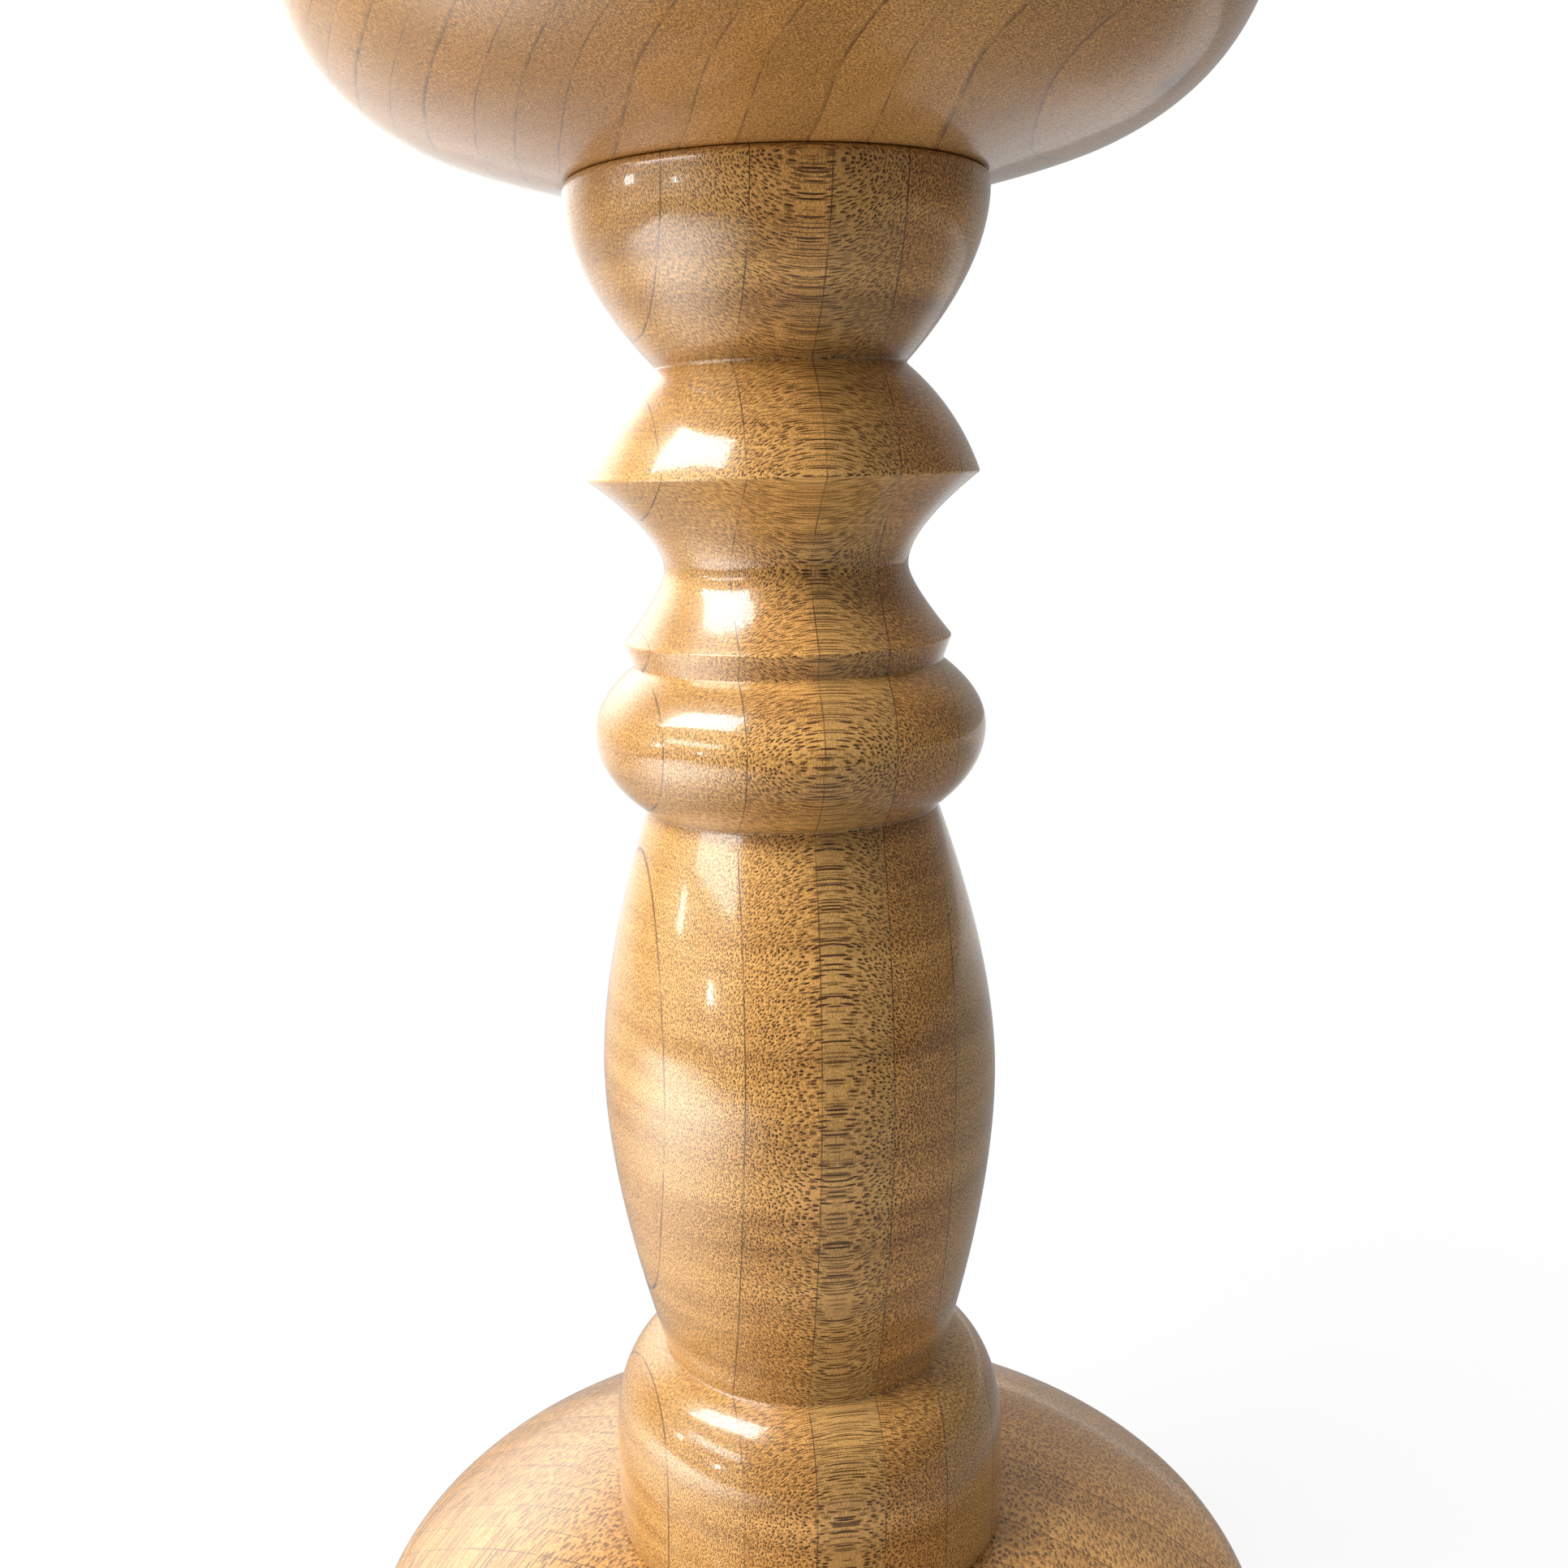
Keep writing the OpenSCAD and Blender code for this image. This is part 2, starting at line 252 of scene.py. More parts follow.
# Base: lying grain, with the pith in front and to the left
BASE_CENTRE = Vector((0, 0, 15))
BASE_RING_NORMAL = Vector((0.44, 0.88, 0.14))
BASE_PITH_REACH = 120
BASE_WOOD = Wood(
    name="maple_base",
    centre=BASE_CENTRE,
    pith=BASE_CENTRE - BASE_PITH_REACH * BASE_RING_NORMAL,
    grain=Vector((0.894, -0.447, 0)),
    ring_gap=3.6, ring_radius=121, uneven=5, first_ring=0,
    ring_contrast=0.25, line=0.8, ray=0.75, ray_size=1.7, curl_and_sheen=0.4, pale=0.66,
)

# Patterns in maple, in millimetres: away from the pith, round it and along the grain
WARP_SIZE = (30, 30, 60)
WARP_DEPTH = 1.2
CURL_SIZE = (45, 45, 3.3)
CURL_SHIFT = 0.9
CLOUD_SIZE = (14, 14, 40)
VESSEL_SIZE = (0.11, 0.11, 2)
SPECKLE_SIZE = (0.1, 0.1, 0.25)
RIPPLE_SIZE = (1.8, 1.8, 12)

# How many ring gaps a spell of wide or narrow rings spans, and where the noise turns into vessels
YEARS_SPAN = 2
VESSEL_FADE = (0.5, 0.72)

# The line that ends a ring, in millimetres, and how its breaks fade it
LINE_BEFORE = 0.16
LINE_AFTER = 0.06
LINE_BREAKS = (3, 3, 6)
LINE_BREAK_FADE = (0.35, 0.6, 0.35, 1)

# Rays: spacing and half size in millimetres, round the pith and along the grain, and how they vary
RAY_SPACING = (0.115, 0.34)
RAY_HALF_SIZE = (0.038, 0.135)
RAY_SCATTER = 0.85
RAY_EDGE_FADE = (0.7, 1.2, 1, 0)
RAY_WEIGHTS = (0.5, 1)

# What each pattern adds to the tone and to the relief
CLOUD_TONE = 0.3
VESSEL_TONE = -0.4
SPECKLE_TONE = 2
# Worn edges get paler, and grooves get darker as painted shade
WEAR_AND_SHADE_TONE = 0.22
VESSEL_RELIEF = -0.5
RAY_RELIEF = -0.7
LINE_RELIEF = -0.6
RELIEF_DEPTH = 0.02 * MM
RELIEF_STRENGTH = 0.6

# Maple's colours and its lacquer
RAY_COLOUR = (*srgb(72, 40, 11), 1)
LINE_COLOUR = (*srgb(88, 56, 30), 1)
OLIVE = (*srgb(178, 152, 96), 1)
MAPLE_TONES = (
    (0.0, srgb(137, 92, 42)),
    (0.3, srgb(179, 125, 60)),
    (0.55, srgb(207, 149, 76)),
    (0.8, srgb(229, 168, 90)),
    (1.0, srgb(246, 188, 108)),
)
MAPLE_ROUGHNESS = (0.66, 0.54)
MAPLE_SHINE = 0.25
LACQUER_ROUGHNESS = 0.06
LACQUER_IOR = 1.5
LACQUER_RELIEF = 0.2


def grain_axes(wood):
    """The turn from the object's axes to the tree's: away from the pith, round it and along the grain."""
    along = wood.grain.normalized()
    away = wood.centre - wood.pith
    away = (away - along * away.dot(along)).normalized()
    return Matrix((away, along.cross(away), along))


def tree_place(graph, wood):
    """The point's place in the tree, in millimetres: from the pith, round it and along the grain."""
    axes = grain_axes(wood)
    mapped = graph.add("Mapping", {
        "Vector": graph.place(),
        "Location": -(axes @ wood.pith),
        "Rotation": axes.to_euler(),
        "Scale": (1 / MM, 1 / MM, 1 / MM),
    })
    away, aside, along = graph.split(mapped.outputs[0])
    warp = graph.noise(graph.stretched((away, aside, along), WARP_SIZE))
    radius = graph.total(graph.hypotenuse(away, aside), (WARP_DEPTH, warp))
    if wood.uneven:
        years = graph.math("DIVIDE", radius, YEARS_SPAN * wood.ring_gap)
        radius = graph.total(radius, (wood.uneven, graph.noise(graph.vector(years, 0, 0), detail=1)))
    reach = (axes @ (wood.centre - wood.pith)).x
    round_pith = graph.math("MULTIPLY", graph.math("ARCTAN2", aside, away), reach)
    return radius, round_pith, along


def growth_rings(graph, wood, parts):
    """Each ring's chance tone, partly its own colour and partly painted sheen, its tint, and the dark,
    broken line that ends it.
    """
    from_ring = graph.math("SUBTRACT", parts[0], wood.ring_radius + WARP_DEPTH / 2)
    ring = graph.math("DIVIDE", from_ring, wood.ring_gap)
    number = graph.math("ADD", graph.math("FLOOR", ring), wood.first_ring)
    chance = graph.add("TexWhiteNoise", {"W": number}, noise_dimensions="1D")
    tone, tint = graph.split(chance.outputs["Color"])[:2]
    in_ring = graph.math("FRACT", ring)
    before = graph.fade(in_ring, 1 - LINE_BEFORE / wood.ring_gap, 1)
    after = graph.fade(in_ring, 0, LINE_AFTER / wood.ring_gap, 1, 0)
    breaks = graph.noise(graph.stretched(parts, LINE_BREAKS))
    line = graph.product(graph.math("MAXIMUM", before, after), graph.fade(breaks, *LINE_BREAK_FADE))
    return tone, tint, line


def ray_flecks(graph, wood, across, along):
    """Small spindles of chance strength, scattered over the faces that cut the rays."""
    width, length = (wood.ray_size * spacing for spacing in RAY_SPACING)
    place = graph.vector(graph.math("DIVIDE", across, width), graph.math("DIVIDE", along, length), 0)
    inputs = {"Vector": place, "Scale": 1, "Randomness": RAY_SCATTER}
    cells = graph.add("TexVoronoi", inputs, voronoi_dimensions="2D").outputs
    weight = graph.fade(graph.split(cells["Color"])[0], 0, 1, *RAY_WEIGHTS)
    shares = [spacing / half for spacing, half in zip(RAY_SPACING, RAY_HALF_SIZE)]
    offset = graph.vector_math("SUBTRACT", place, cells["Position"])["Vector"]
    offset = graph.vector_math("MULTIPLY", offset, (*shares, 0))["Vector"]
    distance = graph.vector_math("LENGTH", offset)["Value"]
    return graph.product(graph.fade(distance, *RAY_EDGE_FADE), weight)


def maple(wood):
    """Lacquered maple: growth rings, ray flecks, curly figure with painted sheen, vessels, edges worn paler
    and grooves darkened with painted shade.
    """
    material, graph, shader = new_material(wood.name)
    parts = tree_place(graph, wood)
    radius, round_pith, along = parts
    # Curly figure: its bands bend the fibres, and in the tone they are painted sheen
    curl_and_sheen = graph.noise(graph.stretched(parts, CURL_SIZE), detail=1)
    fibre = (radius, graph.total(round_pith, (CURL_SHIFT, curl_and_sheen)), along)
    # Each ring's tone is partly the wood's own colour and partly painted sheen
    ring_tone_and_sheen, ring_tint, line = growth_rings(graph, wood, parts)
    ray = ray_flecks(graph, wood, *fibre[1:])
    cloud = graph.noise(graph.stretched(parts, CLOUD_SIZE))
    vessel = graph.fade(graph.noise(graph.stretched(fibre, VESSEL_SIZE), detail=1), *VESSEL_FADE)
    speckle = graph.noise(graph.stretched(parts, SPECKLE_SIZE), detail=1)
    ripple = graph.noise(graph.stretched(fibre, RIPPLE_SIZE), detail=1)
    # Paler on worn edges, and darker in grooves as painted shade
    wear_and_shade = graph.add("Attribute", attribute_name=WEAR_AND_SHADE_NAME).outputs["Fac"]

    tone = graph.total(
        wood.pale - (wood.ring_contrast + wood.curl_and_sheen + CLOUD_TONE + SPECKLE_TONE) / 2,
        (wood.ring_contrast, ring_tone_and_sheen),
        (wood.curl_and_sheen, curl_and_sheen),
        (CLOUD_TONE, cloud),
        (VESSEL_TONE, vessel),
        (SPECKLE_TONE, speckle),
        (WEAR_AND_SHADE_TONE, wear_and_shade),
    )
    colour = graph.ramp(tone, MAPLE_TONES)
    colour = graph.blend(graph.product(ring_tint, wood.ring_contrast), colour, OLIVE)
    colour = graph.blend(graph.product(ray, wood.ray), colour, RAY_COLOUR)
    colour = graph.blend(graph.product(line, wood.line), colour, LINE_COLOUR)
    relief = graph.total(0, (VESSEL_RELIEF, vessel), (RAY_RELIEF, ray), (LINE_RELIEF, line))
    graph.feed(shader, {
        "Base Color": colour,
        "Roughness": graph.fade(tone, 0, 1, *MAPLE_ROUGHNESS),
        "Normal": graph.bump(relief, RELIEF_DEPTH, RELIEF_STRENGTH),
        "Specular IOR Level": MAPLE_SHINE,
        "Coat Weight": 1,
        "Coat Roughness": LACQUER_ROUGHNESS,
        "Coat IOR": LACQUER_IOR,
        "Coat Normal": graph.bump(graph.total(ripple, (LACQUER_RELIEF, relief)), RELIEF_DEPTH),
    })
    return material


# Brass: fine rings across and along the axis, and blots of tarnish
BRASS_RING_SIZE = (0.25 * MM, 1, 0.25 * MM)
BRASS_RING_DEPTH = 0.012 * MM
BRASS_RING_STRENGTH = 0.7
TARNISH_SIZE = (9 * MM, 9 * MM, 9 * MM)
TARNISH_SHARE = 0.75
BRASS_TONES = (
    (0.25, srgb(150, 108, 50)),
    (0.5, srgb(205, 165, 88)),
    (0.75, srgb(226, 192, 118)),
)
BRASS_ROUGHNESS = 0.16
TARNISH_ROUGHNESS = 0.2
BRASS_RING_ROUGHNESS = 0.12


def spun_brass():
    """Satin brass with the fine rings that spinning leaves, and a little tarnish."""
    material, graph, shader = new_material("spun_brass")
    x, y, z = graph.split(graph.place())
    across = graph.hypotenuse(x, y)
    rings = graph.noise(graph.stretched((across, 0, z), BRASS_RING_SIZE), detail=3, roughness=0.7)
    tarnish = graph.noise(graph.stretched((x, y, z), TARNISH_SIZE), detail=4, roughness=0.6)
    graph.feed(shader, {
        "Base Color": graph.ramp(graph.shared(TARNISH_SHARE, tarnish, rings), BRASS_TONES),
        "Metallic": 1,
        "Roughness": graph.total(
            BRASS_ROUGHNESS, (TARNISH_ROUGHNESS, tarnish), (BRASS_RING_ROUGHNESS, rings)
        ),
        "Normal": graph.bump(rings, BRASS_RING_DEPTH, BRASS_RING_STRENGTH),
    })
    return material


# Zinc: a cloudy bloom, and scratches along one axis
BLOOM_SIZE = (1.6 * MM, 1.6 * MM, 1.6 * MM)
BLOOM_SHARE = 0.7
SCRATCH_SIZE = (0.1 * MM, 2.5 * MM, 0.1 * MM)
SCRATCH_DEPTH = 0.01 * MM
SCRATCH_STRENGTH = 0.5
ZINC_TONES = (
    (0.3, srgb(150, 152, 158)),
    (0.7, srgb(212, 212, 214)),
)
ZINC_ROUGHNESS = 0.2
BLOOM_ROUGHNESS = 0.22
SCRATCH_ROUGHNESS = 0.08


def zinc():
    """Bright zinc plate with a faint cloudy bloom."""
    material, graph, shader = new_material("zinc_plate")
    parts = graph.split(graph.place())
    bloom = graph.noise(graph.stretched(parts, BLOOM_SIZE), detail=4, roughness=0.6)
    scratches = graph.noise(graph.stretched(parts, SCRATCH_SIZE))
    graph.feed(shader, {
        "Base Color": graph.ramp(graph.shared(BLOOM_SHARE, bloom, scratches), ZINC_TONES),
        "Metallic": 1,
        "Roughness": graph.total(
            ZINC_ROUGHNESS, (BLOOM_ROUGHNESS, bloom), (SCRATCH_ROUGHNESS, scratches)
        ),
        "Normal": graph.bump(scratches, SCRATCH_DEPTH, SCRATCH_STRENGTH),
    })
    return material


# Felt's cloth: soft lumps and matted hairs
LUMP_SIZE = (2.5 * MM, 2.5 * MM, 2.5 * MM)
LUMP_SHARE = 0.4
HAIR_SIZE = (0.25 * MM, 0.7 * MM, 0.25 * MM)
HAIR_TANGLE = 1.5
HAIR_DEPTH = 0.2 * MM
FELT_TONES = (
    (0.3, srgb(52, 72, 54)),
    (0.55, srgb(84, 106, 84)),
    (0.8, srgb(128, 146, 122)),
)
FELT_ROUGHNESS = 0.85
HAIR_ROUGHNESS = 0.12
FELT_SHEEN = 0.35
FELT_SHEEN_ROUGHNESS = 0.5


def felt_cloth():
    """Pressed wool felt: matted fibres in a dark green with lighter hairs."""
    material, graph, shader = new_material("pressed_felt")
    parts = graph.split(graph.place())
    lumps = graph.noise(graph.stretched(parts, LUMP_SIZE), detail=3, roughness=0.6)
    hair_place = graph.stretched(parts, HAIR_SIZE)
    hairs = graph.noise(hair_place, detail=3, roughness=0.7, distortion=HAIR_TANGLE)
    matted = graph.shared(LUMP_SHARE, lumps, hairs)
    graph.feed(shader, {
        "Base Color": graph.ramp(matted, FELT_TONES),
        "Roughness": graph.total(FELT_ROUGHNESS, (HAIR_ROUGHNESS, hairs)),
        "Normal": graph.bump(matted, HAIR_DEPTH),
        "Sheen Weight": FELT_SHEEN,
        "Sheen Roughness": FELT_SHEEN_ROUGHNESS,
    })
    return material


# Turned meshes. A corner's rounding takes at most a set share of each side that meets there
STEPS_ROUND = 160
ROUND_DIGITS = 7
SAME_POINT = 0.002 * MM
SHARP_TURN = math.radians(14)
EASE_RADIUS = 0.3 * MM
EASE_STEPS = 5
EASE_SHARE = 0.4
SHOULDER_RADIUS = 0.9 * MM
SHOULDER_LENGTH = 4 * MM
HOLLOW_RADIUS = 4 * MM
HOLLOW_TURN = math.radians(50)
FINE_TURN = math.radians(5)
LONGEST_STEP = 1.5 * MM

# Worn edges, and painted shade in grooves, which the meshes carry and the maple shows
WEAR_AND_SHADE_NAME = "edge_wear_and_groove_shade"
WEAR_AND_SHADE_REACH = 0.35 * MM


def section_of(mesh):
    """Each vertex as a (radius, height) point."""
    places = np.empty(3 * len(mesh.vertices))
    mesh.vertices.foreach_get("co", places)
    x, y, z = places.reshape(-1, 3).T
    return np.column_stack([np.hypot(x, y), z])


def distinct(points):
    """The points, with each place kept once."""
    kept = []
    for point in np.unique(np.round(points, ROUND_DIGITS), axis=0):
        if all(np.hypot(*(point - other)) > SAME_POINT for other in kept):
            kept.append(point)
    return np.array(kept)


def neighbours_of(mesh, section, circles):
    """For each circle of the turning, the circles that the mesh's edges join it to."""
    circle_of = np.linalg.norm(section[:, None] - circles[None], axis=2).argmin(axis=1)
    ends = np.empty(2 * len(mesh.edges), int)
    mesh.edges.foreach_get("vertices", ends)
    pairs = np.unique(np.sort(circle_of[ends].reshape(-1, 2), axis=1), axis=0)
    neighbours = {index: [] for index in range(len(circles))}
    for first, second in pairs[pairs[:, 0] != pairs[:, 1]]:
        neighbours[first].append(second)
        neighbours[second].append(first)
    return neighbours


def outline_of(node):
    """A turned node's section as points, walked with the solid on the left, and whether it closes."""
    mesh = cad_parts[node].data
    section = section_of(mesh)
    circles = distinct(section)
    neighbours = neighbours_of(mesh, section, circles)
    loose = [index for index, near in neighbours.items() if len(near) == 1]
    chain = [loose[0] if loose else 0]
    onward = neighbours[chain[0]]
    while onward:
        chain.append(onward[0])
        onward = [index for index in neighbours[chain[-1]] if index not in chain]
    points = circles[chain]
    if loose:
        points = np.vstack([points[0] * (0, 1), points, points[-1] * (0, 1)])
    ahead = np.roll(points, -1, axis=0)
    if np.sum(points[:, 0] * ahead[:, 1] - ahead[:, 0] * points[:, 1]) < 0:
        points = points[::-1]
    return points, not loose


def ease_radius(turn, *sides):
    """A corner's rounding, which is larger in an open hollow and on a long flat shoulder."""
    if -HOLLOW_TURN < turn < 0:
        return HOLLOW_RADIUS
    on_shoulder = any(abs(side[1]) < SAME_POINT and abs(side[0]) > SHOULDER_LENGTH for side in sides)
    return SHOULDER_RADIUS if on_shoulder else EASE_RADIUS


def ease_corners(points, closed):
    """The outline with sharp corners rounded, and each corner with 1 if it stands out, -1 if not."""
    result = []
    corners = []
    for index, here in enumerate(points):
        back = points[index - 1] - here
        onward = points[(index + 1) % len(points)] - here
        back_length, onward_length = np.hypot(*back), np.hypot(*onward)
        turn = math.atan2(back[1] * onward[0] - back[0] * onward[1], -back.dot(onward))
        at_end = not closed and index in (0, len(points) - 1)
        if at_end or abs(turn) < SHARP_TURN:
            result.append(here)
            continue
        wanted = ease_radius(turn, back, onward) * math.tan(abs(turn) / 2)
        cut = min(wanted, EASE_SHARE * back_length, EASE_SHARE * onward_length)
        first = here + back / back_length * cut
        last = here + onward / onward_length * cut
        for t in np.linspace(0, 1, EASE_STEPS):
            result.append((1 - t) ** 2 * first + 2 * t * (1 - t) * here + t ** 2 * last)
        corners.append((here, math.copysign(1, turn)))
    return np.array(result), corners


def smooth_outline(points, closed):
    """A smooth curve through the outline's points, in short steps."""
    if closed:
        before, after = np.roll(points, 1, axis=0), np.roll(points, -1, axis=0)
    else:
        before, after = np.vstack([points[:1], points[:-1]]), np.vstack([points[1:], points[-1:]])
    ways = after - before
    ways = ways / np.linalg.norm(ways, axis=1)[:, None]
    result = []
    for index in range(len(points) if closed else len(points) - 1):
        following = (index + 1) % len(points)
        start, end = points[index], points[following]
        length = np.hypot(*(end - start))
        turn = math.acos(np.clip(ways[index].dot(ways[following]), -1, 1))
        steps = max(1, math.ceil(turn / FINE_TURN), math.ceil(length / LONGEST_STEP))
        for t in np.arange(steps) / steps:
            result.append(
                (2 * t ** 3 - 3 * t ** 2 + 1) * start
                + (3 * t ** 2 - 2 * t ** 3) * end
                + length * (t ** 3 - 2 * t ** 2 + t) * ways[index]
                + length * (t ** 3 - t ** 2) * ways[following]
            )
    if not closed:
        result.append(points[-1])
    return np.array(result)


def edge_wear_and_groove_shade(points, corners):
    """How near each point is to a corner: up to 1 on an edge that stands out and is worn paler, down to -1
    in a groove, darkened as painted shade.
    """
    wear_and_shade = np.zeros(len(points))
    for place, sign in corners:
        wear_and_shade += sign * np.exp(-np.sum((points - place) ** 2, axis=1) / WEAR_AND_SHADE_REACH ** 2)
    return np.clip(wear_and_shade, -1, 1)


def new_object(name, vertices, faces, material):
    """A smooth-shaded mesh object in the scene."""
    mesh = bpy.data.meshes.new(name)
    mesh.from_pydata(vertices, [], faces)
    mesh.polygons.foreach_set("use_smooth", [True] * len(mesh.polygons))
    mesh.materials.append(material)
    piece = bpy.data.objects.new(name, mesh)
    scene.collection.objects.link(piece)
    return piece


def revolve(name, points, closed, material):
    """The outline turned about the axis, and the outline point that each vertex comes from."""
    vertices = []
    rows = []
    owners = []
    for index, (radius, height) in enumerate(points):
        on_axis = not closed and index in (0, len(points) - 1)
        count = 1 if on_axis else STEPS_ROUND
        rows.append(range(len(vertices), len(vertices) + count))
        owners += [index] * count
        for step in range(count):
            angle = 2 * math.pi * step / STEPS_ROUND
            vertices.append((radius * math.cos(angle), radius * math.sin(angle), height))
    faces = []
    for index in range(len(rows) if closed else len(rows) - 1):
        low, high = rows[index], rows[(index + 1) % len(rows)]
        for step in range(STEPS_ROUND):
            onward = (step + 1) % STEPS_ROUND
            corners = [low[step % len(low)], low[onward % len(low)]]
            corners += [high[onward % len(high)], high[step % len(high)]]
            faces.append(list(dict.fromkeys(corners)))
    return new_object(name, vertices, faces, material), owners


def turned_piece(name, node, body, material):
    """A smooth solid that stands for a turned node, with its worn edges and painted groove shade stored on
    the vertices.
    """
    points, closed = outline_of(node)
    points, corners = ease_corners(points, closed)
    points = smooth_outline(points, closed)
    piece, owners = revolve(name, points, closed, material)
    wear_and_shade = piece.data.attributes.new(WEAR_AND_SHADE_NAME, "FLOAT", "POINT")
    wear_and_shade.data.foreach_set("value", edge_wear_and_groove_shade(points, corners)[owners].astype(np.float32))
    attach(piece, body)
    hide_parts(node)


# Felt disc. The fractal's values are its roughness, the step between octaves and their number
FELT_RINGS = 70
FELT_RIM_STEPS = 9
FELT_LUMP = 1.4 * MM
FELT_DEPTH = 0.09 * MM
FELT_FRACTAL = (1, 2, 4)


def felt_disc():
    """The felt under the base: a soft-edged disc with a matted, slightly lumpy face."""
    low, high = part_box("felt_pad")
    radius, thickness = high.x, high.z - low.z
    edge = thickness / 2
    arc = np.linspace(-math.pi / 2, math.pi / 2, FELT_RIM_STEPS)
    rim = np.column_stack([radius - edge + edge * np.cos(arc), low.z + edge + edge * np.sin(arc)])
    inner = np.linspace(0, radius - edge, FELT_RINGS)
    under = [(r, low.z) for r in inner[:-1]]
    over = [(r, high.z) for r in inner[-2::-1]]
    outline = np.array([*under, *rim, *over])
    piece, _ = revolve("felt_disc", outline, False, felt_cloth())
    middle = Vector((0, 0, low.z + edge))
    for vertex in piece.data.vertices:
        lump = 0.5 + 0.5 * noise.fractal(vertex.co / FELT_LUMP, *FELT_FRACTAL)
        pull = FELT_DEPTH * min(max(lump, 0), 1)
        vertex.co += Vector((0, 0, math.copysign(pull, middle.z - vertex.co.z)))
    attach(piece, "candlestick")
    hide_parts("felt_pad")


# White sheet, in metres: its corners, seen from above, and how far it lies below the felt
SHEET_CORNERS = ((-0.8, -0.5), (0.8, -0.5), (0.8, 1), (-0.8, 1))
SHEET_DROP = 0.2 * MM

# The sheet's colours and finish, and how its shadow fades away from the foot
WHITE = (1, 1, 1, 1)
BLACK = (0, 0, 0, 1)
PAPER = (0.9, 0.9, 0.9, 1)
SHEET_ROUGHNESS = 0.6
SHADOW_FADE = (0.06, 0.22, 0.88, 1)

# The sheet in reflections glows with painted light: a painted glare of the window at the front left, more at
# the left and the back, and none at the front
SHEET_MIRRORED = 0.3
GLARE = 6.5
GLARE_RIGHT_FADE = (-0.035, -0.22)
GLARE_BACK_FADE = (0.12, -0.1)
GLARE_LEFT_FADE = (-0.5, -0.42)
LEFT_MIRRORED = 0.3
LEFT_FADE = (-0.05, -0.3)
BACK_MIRRORED = 0.5
BACK_FADE = (0.15, 0.42)
FRONT_FADE = (-0.36, -0.13)

# Painted light that the sheet gives off, as if scattered, onto what it lights, from left to right, from
# front to back and away from the foot
SCATTERED_ACROSS = (-0.28, 0.14, 1.55, 0.34)
SCATTERED_BACKWARD = (-0.5, -0.12, 0.4, 1)
SCATTERED_OUTWARD = (0.08, 0.3, 1.5, 0.75)


def sheet_strength(graph, x, y, away):
    """The sheet's painted light, given off as a glow: one strength in reflections, and another on what it
    lights.
    """
    glare = graph.product(
        graph.fade(x, *GLARE_RIGHT_FADE), graph.fade(y, *GLARE_BACK_FADE), graph.fade(x, *GLARE_LEFT_FADE)
    )
    lit = graph.total(
        SHEET_MIRRORED,
        (GLARE, glare),
        (LEFT_MIRRORED, graph.fade(x, *LEFT_FADE)),
        (BACK_MIRRORED, graph.fade(y, *BACK_FADE)),
    )
    mirrored = graph.product(lit, graph.fade(y, *FRONT_FADE))
    scattered = graph.product(
        graph.fade(x, *SCATTERED_ACROSS),
        graph.fade(y, *SCATTERED_BACKWARD),
        graph.fade(away, *SCATTERED_OUTWARD),
    )
    return graph.by_ray(scattered, mirrored)


def floor_sheet():
    """The white sheet under the candlestick. The camera sees it white, with a faint shadow at the foot."""
    material, graph = empty_material("white_sheet")
    x, y, _ = graph.split(graph.place())
    away = graph.hypotenuse(x, y)
    # Seen by anything but the camera, the sheet is black and glows with painted light
    unseen = graph.add("BsdfPrincipled", {
        "Base Color": BLACK,
        "Roughness": SHEET_ROUGHNESS,
        "Specular IOR Level": 1,
        "Emission Color": WHITE,
        "Emission Strength": sheet_strength(graph, x, y, away),
    })
    paper = graph.add("BsdfDiffuse", {"Color": PAPER})
    glow = graph.add("Emission", {"Color": WHITE, "Strength": 1})
    shadow = graph.fade(away, *SHADOW_FADE)
    seen = graph.add("MixShader", {0: shadow, 1: paper.outputs[0], 2: glow.outputs[0]})
    on_camera = graph.add("LightPath").outputs["Is Camera Ray"]
    mix = graph.add("MixShader", {0: on_camera, 1: unseen.outputs[0], 2: seen.outputs[0]})
    graph.add("OutputMaterial", {"Surface": mix.outputs[0]})
    corners = [(x, y, -SHEET_DROP) for x, y in SHEET_CORNERS]
    new_object("floor", corners, [(0, 1, 2, 3)], material)


# Room: its colour, where its wall stands, turning from the front to the left, and its backdrop behind
ROOM_COLOUR = (1, 0.98, 0.96, 1)
WALL_START = (math.radians(25), math.radians(50))
WALL_END = (math.radians(110), math.radians(80))
BACKDROP_FADE = (0.3, 0.75)
BACKDROP_RIGHT_FADE = (0.1, -0.5)
BACKDROP_TOP_FADE = (0.75, 0.45)

# The room in reflections
ROOM_MIRRORED = 0.1
WALL_MIRRORED = 1.4
BACKDROP_MIRRORED = 0.3
LEFT_BACKDROP_UPWARD = (-0.1, 0.5, 0.9, 4.4)

# The light that the room scatters, with some from above and some from the right
ROOM_SCATTERED = 0.03
BACKDROP_SCATTERED = 0.8
ABOVE_SCATTERED = 0.45
ABOVE_FADE = (0.4, 0.9)
RIGHT_SCATTERED = 0.5
RIGHT_FADE = (0.4, 1)


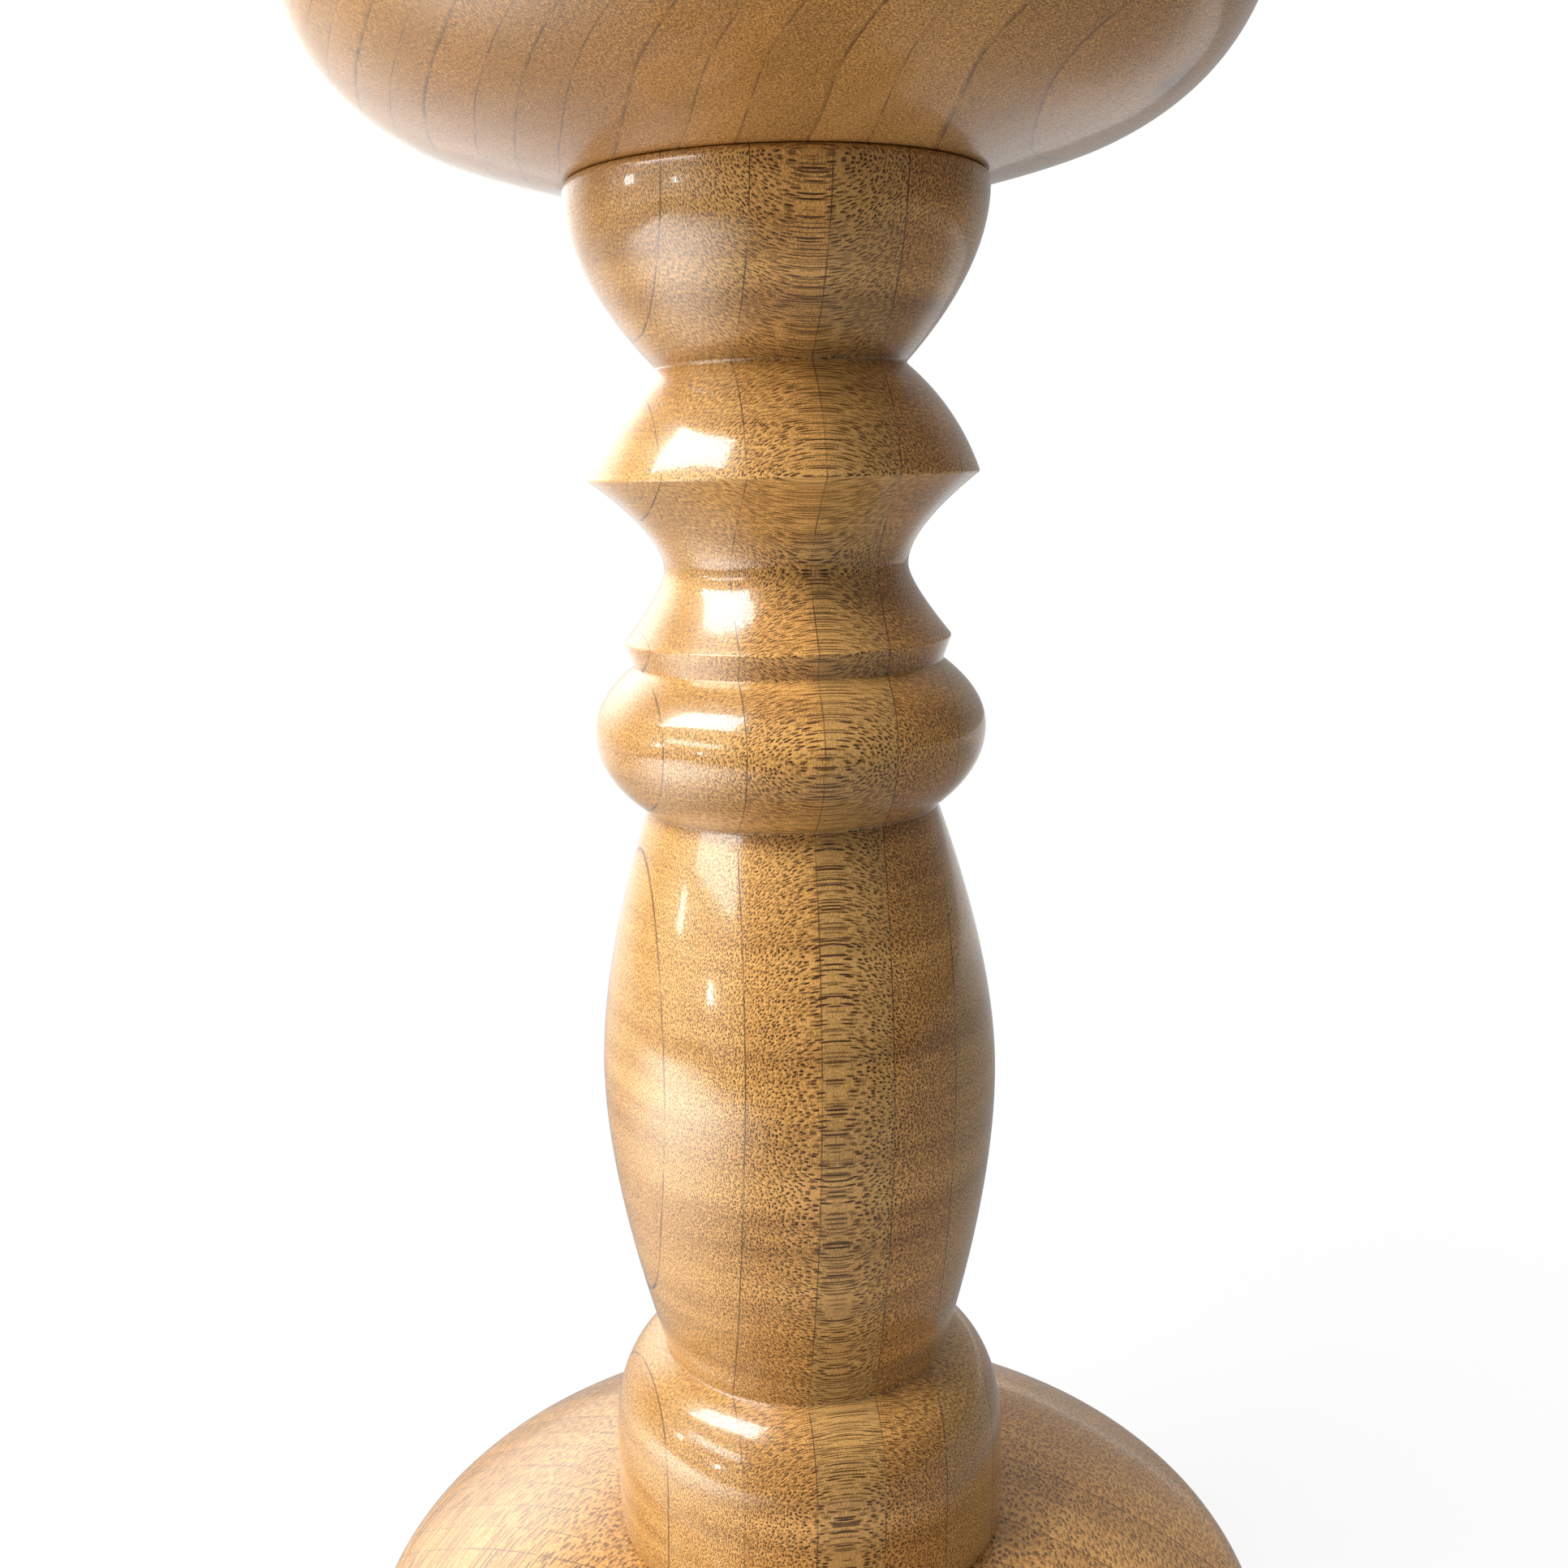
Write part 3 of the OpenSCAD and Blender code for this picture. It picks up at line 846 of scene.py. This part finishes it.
def room_light():
    """White behind everything that the camera sees. Round it is a dim room with a wall and a backdrop."""
    world = bpy.data.worlds.new("room")
    scene.world = world
    world.use_nodes = True
    graph = Graph(world.node_tree)
    x, y, z = graph.split(graph.add("TexCoord").outputs["Generated"])
    turn = graph.math("ARCTAN2", graph.math("MULTIPLY", x, -1), graph.math("MULTIPLY", y, -1))
    wall = graph.product(graph.fade(turn, *WALL_START), graph.fade(turn, *WALL_END))
    backdrop = graph.fade(y, *BACKDROP_FADE)
    left_backdrop = graph.product(
        backdrop, graph.fade(x, *BACKDROP_RIGHT_FADE), graph.fade(z, *BACKDROP_TOP_FADE)
    )
    mirrored = graph.total(
        ROOM_MIRRORED,
        (WALL_MIRRORED, wall),
        (BACKDROP_MIRRORED, backdrop),
        (graph.fade(z, *LEFT_BACKDROP_UPWARD), left_backdrop),
    )
    scattered = graph.total(
        ROOM_SCATTERED,
        (BACKDROP_SCATTERED, backdrop),
        (ABOVE_SCATTERED, graph.fade(z, *ABOVE_FADE)),
        (RIGHT_SCATTERED, graph.fade(x, *RIGHT_FADE)),
    )
    strength = graph.by_ray(scattered, mirrored)
    around = graph.add("Background", {"Color": ROOM_COLOUR, "Strength": strength})
    behind = graph.add("Background", {"Color": WHITE, "Strength": 1})
    on_camera = graph.add("LightPath").outputs["Is Camera Ray"]
    mix = graph.add("MixShader", {0: on_camera, 1: around.outputs[0], 2: behind.outputs[0]})
    graph.add("OutputWorld", {"Surface": mix.outputs[0]})


class Lamp(NamedTuple):
    """A rectangular lamp of even brightness. Lengths are in metres."""
    name: str
    place: tuple
    aim: tuple
    width: float
    height: float
    radiance: float


# A window at the front left, a low panel and strip below it, and one small bright lamp
LAMPS = (
    Lamp(
        "window", place=(-0.6, -0.215, 0.81), aim=(0.632, 0.774, 0),
        width=0.66, height=0.46, radiance=19.5,
    ),
    Lamp(
        "low_panel", place=(-0.658, -0.411, 0.337), aim=(0.85, 0.53, -0.25),
        width=0.5, height=0.11, radiance=9,
    ),
    Lamp(
        "low_strip", place=(-0.764, -0.135, 0.2), aim=(0.98, 0.17, -0.12),
        width=0.07, height=0.06, radiance=22,
    ),
    Lamp(
        "small_lamp", place=(-0.71, -0.554, 0.13), aim=(0.71, 0.554, -0.02),
        width=0.04, height=0.04, radiance=60,
    ),
)


def hang(lamp):
    """Adds the lamp to the scene."""
    data = bpy.data.lights.new(lamp.name, "AREA")
    data.shape = "RECTANGLE"
    data.size = lamp.width
    data.size_y = lamp.height
    data.energy = lamp.radiance * math.pi * lamp.width * lamp.height
    lamp_object = bpy.data.objects.new(lamp.name, data)
    lamp_object.location = lamp.place
    lamp_object.rotation_euler = Vector(lamp.aim).to_track_quat("-Z", "Y").to_euler()
    scene.collection.objects.link(lamp_object)


place_camera()
floor_sheet()
room_light()
for lamp in LAMPS:
    hang(lamp)

turned_piece("turned_stem", "stem", "candlestick", maple(STEM_WOOD))
turned_piece("turned_cup", "cup", "candlestick", maple(CUP_WOOD))
turned_piece("turned_base", "base", "candlestick", maple(BASE_WOOD))
turned_piece("spun_liner", "candle_liner", "liner", spun_brass())
felt_disc()
plate = zinc()
for fastener in ("base_screw", "base_washer", "cup_screw"):
    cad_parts[fastener].material_slots[0].material = plate

scene.view_settings.view_transform = "Standard"
